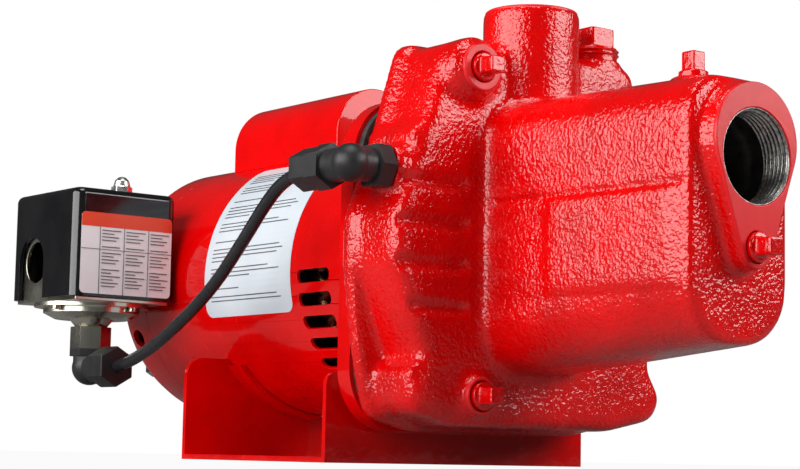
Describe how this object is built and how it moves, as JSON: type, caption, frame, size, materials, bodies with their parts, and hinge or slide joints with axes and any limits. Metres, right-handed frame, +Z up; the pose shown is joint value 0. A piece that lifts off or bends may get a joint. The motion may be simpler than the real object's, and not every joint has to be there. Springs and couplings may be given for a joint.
{
  "type": "centrifugal water pump",
  "caption": "Shallow-well jet pump: electric motor on a folded base, cast pump case with ejector nose, pressure switch and sensing tube.",
  "frame": {"origin": "centre of the base's four bolt holes on its underside", "axes": "+X along the motor shaft, out of the suction port; +Z up, out of the discharge port; the pressure switch is on the -Y side"},
  "size_m": [0.4333, 0.223, 0.2199],
  "materials": {
    "red_sheet": "gloss",
    "red_cast": "gloss over cast texture",
    "red_plug": "gloss",
    "zinc": "zinc plated",
    "bright_nut": "bright plated",
    "steel": "machined",
    "laminations": "stacked sheet",
    "copper": "varnished wire",
    "cast_iron": "as cast",
    "pump_plastic": "glass filled",
    "seal_face": "lapped ceramic",
    "rubber": "matt",
    "switch_shell": "gloss black",
    "black_nylon": "satin black",
    "tube": "satin black",
    "phenolic": "moulded",
    "can": "drawn can",
    "brass": "turned"
  },
  "bodies": {
    "root": {"motor_base": "red_sheet", "motor_shell": "red_sheet", "capacitor_cover": "red_sheet", "rear_end_bell": "red_sheet", "motor_flange": "red_sheet", "pump_case": "red_cast", "case_bolts": "zinc", "through_bolts": "zinc", "switch_bracket": "zinc", "conduit_nipple": "zinc", "switch_locknut": "zinc", "bell_locknut": "zinc", "pressure_flange": "zinc", "flange_screws": "zinc", "hex_fitting": "zinc", "cover_stud": "zinc", "range_nut": "zinc", "front_bearing": "steel", "rear_bearing": "steel", "range_spring": "steel", "pivot_post": "steel", "pivot_pin": "steel", "stator_core": "laminations", "winding_front": "copper", "winding_rear": "copper", "seal_plate": "cast_iron", "diffuser": "pump_plastic", "venturi": "pump_plastic", "nozzle": "pump_plastic", "start_switch_board": "pump_plastic", "seal_seat": "seal_face", "case_gasket": "rubber", "diaphragm": "rubber", "lower_elbow": "black_nylon", "lower_tube_nut": "black_nylon", "upper_elbow": "black_nylon", "upper_tube_nut": "black_nylon", "sensing_tube": "tube", "contact_block": "phenolic", "start_capacitor": "can", "terminal_screws": "brass"},
    "rotor": {"motor_shaft": "steel", "rotor_core": "laminations", "cooling_fan": "pump_plastic", "centrifugal_weights": "steel", "impeller": "pump_plastic", "impeller_nut": "steel", "seal_head": "seal_face", "seal_spring": "steel"},
    "actuator": {"start_actuator": "pump_plastic"},
    "suction_plug_body": {"suction_face_plug": "red_plug"},
    "gauge_plug_body": {"gauge_plug": "red_plug"},
    "drain_plug_body": {"drain_plug": "red_plug"},
    "nose_plug_body": {"nose_top_plug": "red_plug"},
    "priming_plug_body": {"priming_plug": "red_plug"},
    "cover": {"switch_cover": "switch_shell"},
    "cap_nut": {"cover_nut": "bright_nut"},
    "lever": {"contact_lever": "steel"},
    "plunger_body": {"plunger": "phenolic"}
  },
  "joints": [
    {"name": "shaft_spin", "type": "hinge", "parent": "root", "child": "rotor", "pos_m": [0, 0, 0.095], "axis": [1, 0, 0], "continuous": true},
    {"name": "actuator_slide", "type": "slide", "parent": "rotor", "child": "actuator", "axis": [1, 0, 0], "range_m": [0, 0.0016], "stiffness_N_per_m": 300, "springref_m": -0.003},
    {"name": "suction_plug_out", "type": "slide", "parent": "root", "child": "suction_plug_body", "axis": [1, 0, 0], "range_m": [0, 0.02]},
    {"name": "gauge_plug_out", "type": "slide", "parent": "root", "child": "gauge_plug_body", "axis": [1, 0, 0], "range_m": [0, 0.02]},
    {"name": "drain_plug_out", "type": "slide", "parent": "root", "child": "drain_plug_body", "axis": [1, 0, 0], "range_m": [0, 0.02]},
    {"name": "nose_plug_out", "type": "slide", "parent": "root", "child": "nose_plug_body", "axis": [0, 0, 1], "range_m": [0, 0.02]},
    {"name": "priming_plug_out", "type": "slide", "parent": "root", "child": "priming_plug_body", "axis": [0, 0, 1], "range_m": [0, 0.025]},
    {"name": "cover_lift", "type": "slide", "parent": "root", "child": "cover", "axis": [0, 0, 1], "range_m": [0, 0.06]},
    {"name": "cap_nut_off", "type": "slide", "parent": "cover", "child": "cap_nut", "axis": [0, 0, 1], "range_m": [0, 0.012]},
    {"name": "lever_tip", "type": "hinge", "parent": "root", "child": "lever", "pos_m": [-0.156, -0.103, 0.117], "axis": [0, 1, 0], "range_deg": [0, 2.5], "stiffness_Nm_per_rad": 0.5, "springref_deg": -5.73},
    {"name": "plunger_rise", "type": "slide", "parent": "root", "child": "plunger_body", "axis": [0, 0, 1], "range_m": [-0.0013, 0]}
  ],
  "couplings": [
    {"joint": "plunger_rise", "follows": "lever_tip", "m_per_rad": -0.0285}
  ]
}
